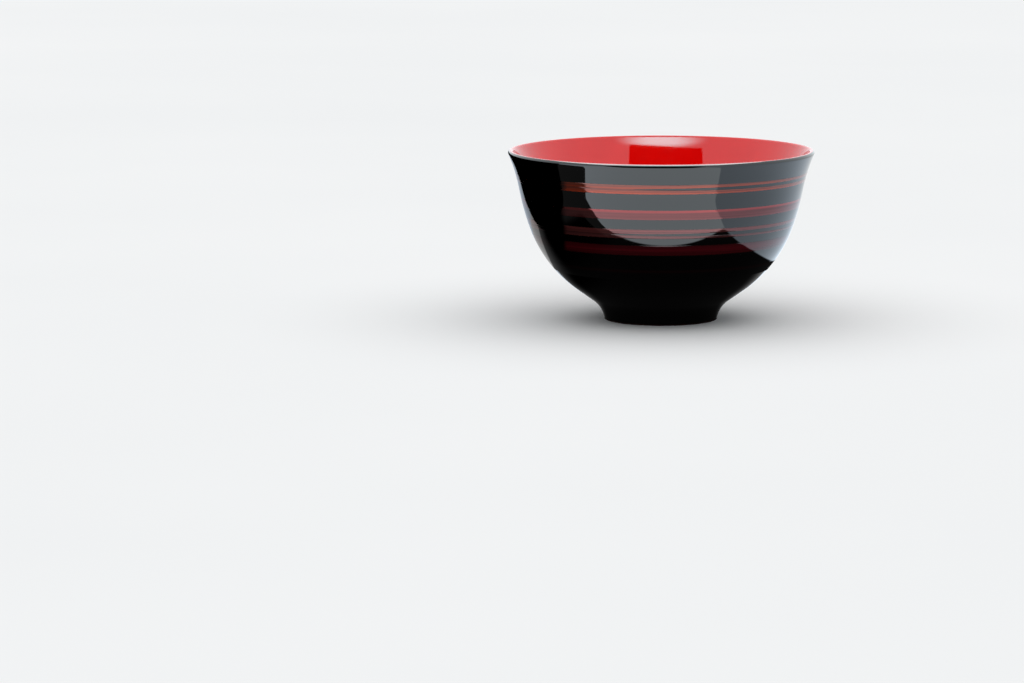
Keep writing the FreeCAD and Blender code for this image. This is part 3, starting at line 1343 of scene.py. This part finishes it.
@dataclass
class Studio:
    """Floor, reflection cards, lights and camera.

    Attributes:
        reach: Half the width of the floor and the cards, in metres.
        ledge_glow: Brightness of the dark ledge and of the front of the stand.
        upper_card: The card that the wall above it mirrors.
        lower_card: The card that the wall below the upper card mirrors.
        ledge_height: Height of the dark ledge, in metres.
        ledge_ends: Left and right end of the ledge, in metres.
        ledge_front: Depth of its front edge on the left, in metres.
        ledge_sweep: How far the front edge draws back towards the right, in metres.
        ledge_sweep_from: Where the front edge starts to draw back, in metres.
        ledge_back: Depth of its back edge at the left and the right end, in metres.
        dome_tone: Light of the dome.
        highlight: Light of the dome's bright spot.
        highlight_rise: Where the spot starts, is full, fades and ends, in degrees of height.
        highlight_turn: Direction of the spot's middle from the front to the left, in degrees.
        highlight_spread: Where the spot fades and ends sideways, in degrees.
        side_flag_edge: Right edge of the flag beside the key lamp, in metres.
        neighbour: Place of the dark flag of the bowl's own shape, in metres.
        background: Colour behind the floor.
        eye: Place of the camera, in metres.
        focal_length: Focal length on a film 36 mm wide, in millimetres.
        dip: Angle by which the camera looks down, in degrees.
        roll: Angle by which the camera leans, in degrees.
    """

    reach: float = 4.0
    ledge_glow: float = 0.085
    upper_card: StandPlan = StandPlan(
        "upper_ground_card", 0.020, -0.185, 0.047, -0.063, 0.060, -0.132, 0.69, -0.0345, 0.016)
    lower_card: StandPlan = StandPlan(
        "lower_ground_card", -0.002, -0.19, 0.073, -0.080, 0.060, -0.26, 0.0, 0.062, 0.060)
    ledge_height: float = 0.035
    ledge_ends: tuple[float, float] = (-0.12, -0.024)
    ledge_front: float = -0.0588
    ledge_sweep: float = 0.0075
    ledge_sweep_from: float = -0.060
    ledge_back: tuple[float, float] = (-0.0500, -0.0480)
    dome_tone: Colour = (1.34, 1.46, 1.52, 1.0)
    highlight: Colour = (4.6, 11.2, 11.7, 1.0)
    highlight_rise: tuple[float, float, float, float] = (36.0, 39.0, 44.0, 50.0)
    highlight_turn: float = 2.0
    highlight_spread: tuple[float, float] = (8.0, 46.0)
    side_flag_edge: float = -0.0402
    neighbour: tuple[float, float, float] = (-0.1183, 0.005, 0.0)
    background: Colour = (0.86, 0.875, 0.88, 1.0)
    eye: tuple[float, float, float] = (-0.05758, -1.5973, 0.22203)
    focal_length: float = 146.390625
    dip: float = 8.23
    roll: float = -0.126

    def put(self, name: str, mesh: bpy.types.Mesh, unseen: Sequence[str]) -> bpy.types.Object:
        """Put a mesh in the studio.

        Args:
            name: Name of the object.
            mesh: The mesh.
            unseen: The kinds of ray that don't meet it.

        Returns:
            The object.
        """
        thing = bpy.data.objects.new(name, mesh)
        bpy.context.scene.collection.objects.link(thing)
        self.hide_from(thing, unseen)
        return thing

    def sheet(self, name: str, corners: Sequence[tuple[float, float, float]],
              finish: bpy.types.Material | None = None,
              unseen: Sequence[str] = MIRRORED_ONLY) -> bpy.types.Object:
        """Hang a flat sheet.

        Args:
            name: Name of the object.
            corners: Its corners in order, in metres.
            finish: Its material.
            unseen: The kinds of ray that don't meet it.

        Returns:
            The object.
        """
        mesh = bpy.data.meshes.new(name)
        mesh.from_pydata(corners, [], [tuple(range(len(corners)))])
        if finish:
            mesh.materials.append(finish)
        return self.put(name, mesh, unseen)

    def hide_from(self, thing: bpy.types.Object, rays: Sequence[str]) -> None:
        """Hide a thing from some kinds of ray."""
        for ray in rays:
            setattr(thing, "visible_" + ray, False)

    def level_square(self, height: float) -> list[tuple[float, float, float]]:
        """Give the corners of a wide level square at a height."""
        ends = ((-1, -1), (1, -1), (1, 1), (-1, 1))
        return [(x * self.reach, y * self.reach, height) for x, y in ends]

    def lay_floor(self) -> bpy.types.Object:
        """Lay the pale floor.

        Returns:
            The floor.
        """
        material, bench, surface = shader("pale_paper")
        cloud = bench.noise(grain(bench), 3.0, 3.0)
        colour = bench.mix(cloud, (0.80, 0.815, 0.825, 1.0), (0.85, 0.86, 0.865, 1.0))
        bench.feed(surface.inputs["Base Color"], colour)
        surface.inputs["Roughness"].default_value = 0.9
        surface.inputs["Specular IOR Level"].default_value = 0.0
        return self.sheet("studio_floor", self.level_square(0.0), material,
                          ("diffuse", "glossy", "transmission"))

    def hang_ledge(self) -> None:
        """Hang the dark ledge on the left: a dimly glowing card that only the gloss sees, painting
        the dark part of the outside wall's reflection; its edge bounds the bright part of the wall.
        """
        left, right = self.ledge_ends
        outline, steps = [(left, self.ledge_front)], 24
        for step in range(steps + 1):
            share = step / steps
            x = self.ledge_sweep_from + (right - self.ledge_sweep_from) * share
            ease = share * share * (3.0 - 2.0 * share)
            outline.append((x, self.ledge_front + self.ledge_sweep * ease))
        outline += [(right, self.ledge_back[1]), (left, self.ledge_back[0])]
        # dim glow seen only in reflections: painted dark reflection on the lower left of the
        # outside wall
        level = self.ledge_glow
        self.sheet("dark_reflection_ledge", [(x, y, self.ledge_height) for x, y in outline],
                   glow("ledge_painted_reflection", (level, level, level, 1.0))[0])

    def hang_window(self) -> None:
        """Hang the dark opening at the front of the tent, round the camera."""
        depth, middle, low_top, arch, steps = -0.46, -0.045, 0.442, 0.5, 16
        left, right, left_splay, right_splay = -0.398, 0.246, 0.026, 0.012
        corners = [(left - left_splay, depth, 0.0), (right + right_splay, depth, 0.0)]
        for step in range(steps + 1):
            x = right + (left - right) * step / steps
            corners.append((x, depth, low_top + arch * (x - middle) ** 2))
        self.sheet("dark_opening", corners, glow("opening_black")[0])

    def hang_dome(self) -> None:
        """Hang the pale dome that the inside wall mirrors, with its bright spot."""
        material, bench, colour = glow("tent_glow")
        x, y, z = bench.parts(grain(bench))
        azimuth = bench.calc("ARCTAN2", x, bench.calc("MULTIPLY", y, -1.0))
        flat = bench.calc("SQRT", bench.calc("MULTIPLY_ADD", x, x, bench.calc("MULTIPLY", y, y)))
        rise = bench.calc("ARCTAN2", z, flat)
        start, full, fade, end = (math.radians(angle) for angle in self.highlight_rise)
        spot = bench.calc("MULTIPLY", bench.remap(rise, start, full, 0.0, 1.0),
                          bench.remap(rise, fade, end, 1.0, 0.0))
        aside = bench.calc("ABSOLUTE", bench.calc("ADD", azimuth,
                                                  math.radians(self.highlight_turn)))
        fade, end = (math.radians(angle) for angle in self.highlight_spread)
        spot = bench.calc("MULTIPLY", spot, bench.remap(aside, fade, end, 1.0, 0.0))
        bench.feed(colour, bench.mix(spot, self.dome_tone, self.highlight))
        mesh = bpy.data.meshes.new("tent_card")
        shell = bmesh.new()
        bmesh.ops.create_uvsphere(shell, u_segments=96, v_segments=48, radius=self.reach * 0.98)
        below = [vert for vert in shell.verts if vert.co.z < -0.05]
        bmesh.ops.delete(shell, geom=below, context="VERTS")
        shell.to_mesh(mesh)
        shell.free()
        mesh.materials.append(material)
        self.put("tent_card", mesh, MIRRORED_ONLY)

    def set_neighbour(self, form: BowlForm, tree: LatheTree) -> None:
        """Stand a dark flag of the same turned shape on the left, seen only in the gloss.

        Args:
            form: Sizes of the bowl.
            tree: The tree that turns a section.
        """
        spots = form.outside_line().trace(0.0, 2.0) + [Spot(0.0, 64.0, 0.0), Spot(0.0, 0.3, 0.0)]
        values = {"Steps round": 128, "Finish": glow("flag_black")[0]}
        flag = settle("turned_flag", line_mesh("turned_flag", spots), tree, values, 40.0)
        flag.data.transform(Matrix.Translation(self.neighbour))
        self.hide_from(flag, MIRRORED_ONLY)

    def group(self, name: str, members: Sequence[bpy.types.Object]) -> bpy.types.Collection:
        """Put objects into a collection for the lights.

        Args:
            name: Name of the collection.
            members: The objects.

        Returns:
            The collection.
        """
        collection = bpy.data.collections.new(name)
        for member in members:
            collection.objects.link(member)
        return collection

    def lamp(self, plan: LampPlan, lit: bpy.types.Collection,
             blockers: bpy.types.Collection) -> None:
        """Hang a lamp.

        Args:
            plan: The lamp.
            lit: What it lights.
            blockers: What throws its shadow.
        """
        light = bpy.data.lights.new(plan.name, plan.kind)
        light.energy = plan.power
        if plan.kind == "SUN":
            light.angle = math.radians(plan.size)
        else:
            light.size = plan.size
        thing = bpy.data.objects.new(plan.name, light)
        bpy.context.scene.collection.objects.link(thing)
        place = Matrix.Translation(plan.place)
        aim = Vector((0.0, 0.0, 0.04)) - Vector(plan.place)
        turn = aim.to_track_quat("-Z", "Y").to_matrix().to_4x4()
        thing.matrix_world = place if plan.mirrored else place @ turn
        thing.visible_glossy = plan.mirrored
        thing.visible_diffuse = not plan.mirrored
        thing.visible_camera = False
        thing.light_linking.receiver_collection = lit
        thing.light_linking.blocker_collection = blockers

    def hang_lights(self, floor: bpy.types.Object, outside: Sequence[bpy.types.Object],
                    others: Sequence[bpy.types.Object]) -> None:
        """Hang the lamps and the flag beside the key lamp.

        Args:
            floor: The floor.
            outside: The pieces of the outside wall.
            others: The other pieces of the bowl.
        """
        depth, left, low, high = -0.25, -0.6, -0.2, 0.6
        right = self.side_flag_edge
        flag = self.sheet("side_flag", [(right, depth, low), (right, depth, high),
                                        (left, depth, high), (left, depth, low)],
                          unseen=("camera", "diffuse", "glossy", "transmission"))
        members = {Lit.WALL: outside, Lit.OTHERS: others, Lit.FLOOR: [floor]}
        lit = {kind: self.group(kind.value, things) for kind, things in members.items()}
        bowl = self.group("whole_bowl", [*outside, *others])
        flagged = self.group("bowl_and_flag", [*outside, *others, flag])
        for plan in LAMPS:
            self.lamp(plan, lit[plan.lit], flagged if plan.flagged else bowl)

    def set_world(self) -> None:
        """Set the pale surroundings, which only the camera sees."""
        world = bpy.data.worlds.new("studio")
        world.use_nodes = True
        world.node_tree.nodes["Background"].inputs["Color"].default_value = self.background
        for ray in ("diffuse", "glossy", "transmission"):
            setattr(world.cycles_visibility, ray, False)
        bpy.context.scene.world = world
        bpy.context.scene.view_settings.view_transform = "Standard"

    def set_camera(self) -> None:
        """Set the camera in front of the bowl, a little above it."""
        lens = bpy.data.cameras.new("camera")
        lens.sensor_width, lens.sensor_fit = 36.0, "HORIZONTAL"
        lens.lens = self.focal_length
        lens.clip_start, lens.clip_end = 0.1, 50.0
        camera = bpy.data.objects.new("camera", lens)
        bpy.context.scene.collection.objects.link(camera)
        tilt = Matrix.Rotation(math.radians(UPRIGHT - self.dip), 4, "X")
        roll = Matrix.Rotation(math.radians(self.roll), 4, "Z")
        camera.matrix_world = Matrix.Translation(self.eye) @ tilt @ roll
        bpy.context.scene.camera = camera

    def build(self, form: BowlForm, tree: LatheTree, outside: Sequence[bpy.types.Object],
              others: Sequence[bpy.types.Object]) -> None:
        """Set up the studio round the bowl.

        Args:
            form: Sizes of the bowl.
            tree: The tree that turns a section.
            outside: The pieces of the outside wall.
            others: The other pieces of the bowl.
        """
        self.set_camera()
        self.set_world()
        floor = self.lay_floor()
        for plan in (self.upper_card, self.lower_card):
            self.sheet(plan.name, self.level_square(plan.height),
                       GroundPicture(plan, self.ledge_glow).make())
        self.hang_dome()
        self.hang_ledge()
        self.hang_window()
        self.set_neighbour(form, tree)
        self.hang_lights(floor, outside, others)


def main() -> None:
    """Build the pieces and the studio, and note the sizes."""
    logging.basicConfig(level=logging.INFO, format="%(name)s: %(message)s")
    form = BowlForm()
    hidden = HiddenBody().build()
    turned = TurnedCoats(form)
    coats = turned.build()
    bands = BrushedBands(form).build()
    for piece in [*hidden, *coats, *bands]:
        LOG.info("%s: %d faces", piece.name, len(piece.data.polygons))
    Studio().build(form, turned.tree, [coats[0], *bands], [*coats[1:], *hidden])
    bpy.context.view_layer.update()


if __name__ == "__main__":
    main()
